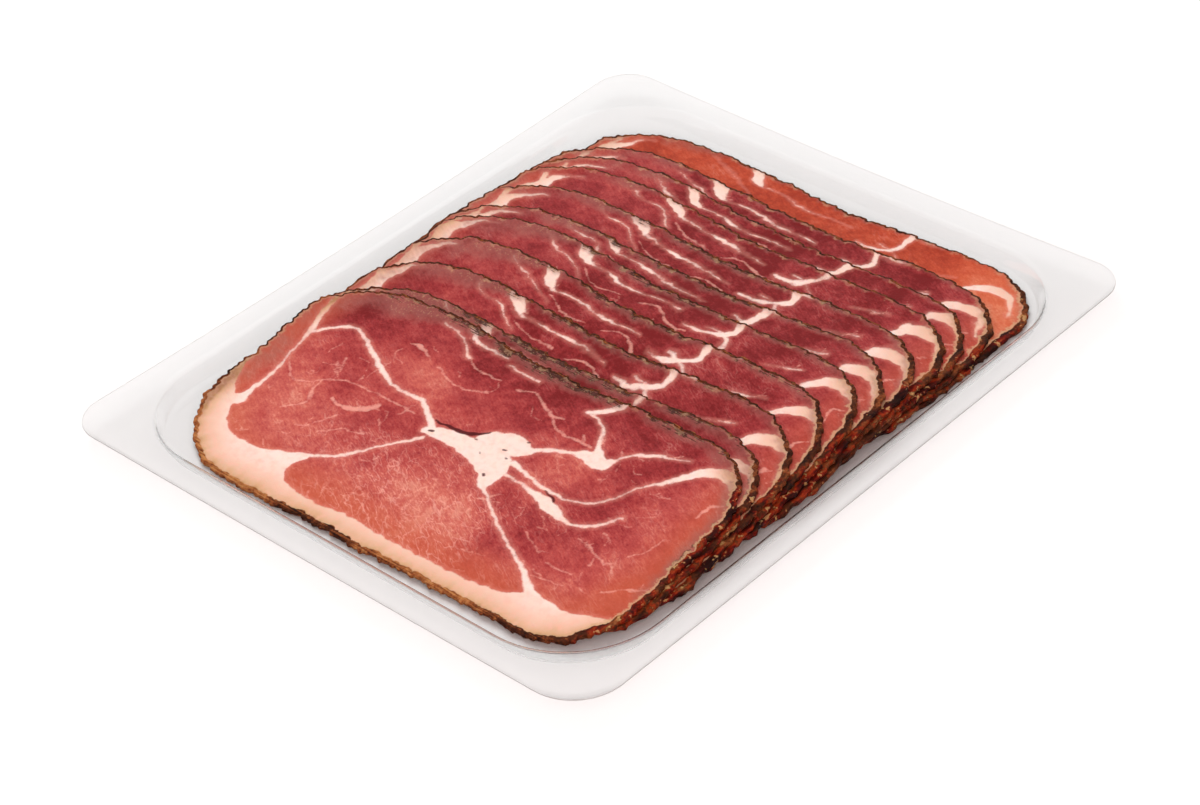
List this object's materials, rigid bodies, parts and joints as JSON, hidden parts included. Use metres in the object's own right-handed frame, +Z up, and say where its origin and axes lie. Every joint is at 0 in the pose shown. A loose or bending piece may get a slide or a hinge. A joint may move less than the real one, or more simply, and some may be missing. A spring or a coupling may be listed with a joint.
{
  "type": "pack of sliced ham",
  "caption": "Shallow clear plastic tray holding overlapping thin slices of smoked ham, fanned from the back to the front, with dark rind round their edges.",
  "frame": {"origin": "under the middle of the tray, on the surface it stands on", "axes": "+Z up; +Y along the tray, from the top slice at the front to the lowest slice at the back; +X across the slices, towards their right ends"},
  "size_m": [0.2, 0.24, 0.0116],
  "materials": {
    "clear_plastic": "clear, thin, glossy formed plastic sheet",
    "ham": "moist cured and smoked lean meat with cream fat, fine marbling and a dark brown rind",
    "thin_ham": "moist lean ham lying on the clear floor, so light comes through it and it looks orange red"
  },
  "bodies": {
    "root": {"tray": "clear_plastic", "slice_01": "thin_ham", "slice_02": "ham", "slice_03": "ham", "slice_04": "ham", "slice_05": "ham", "slice_06": "ham", "slice_07": "ham", "slice_08": "ham", "slice_09": "ham", "slice_10": "ham", "slice_11": "ham"}
  },
  "joints": []
}
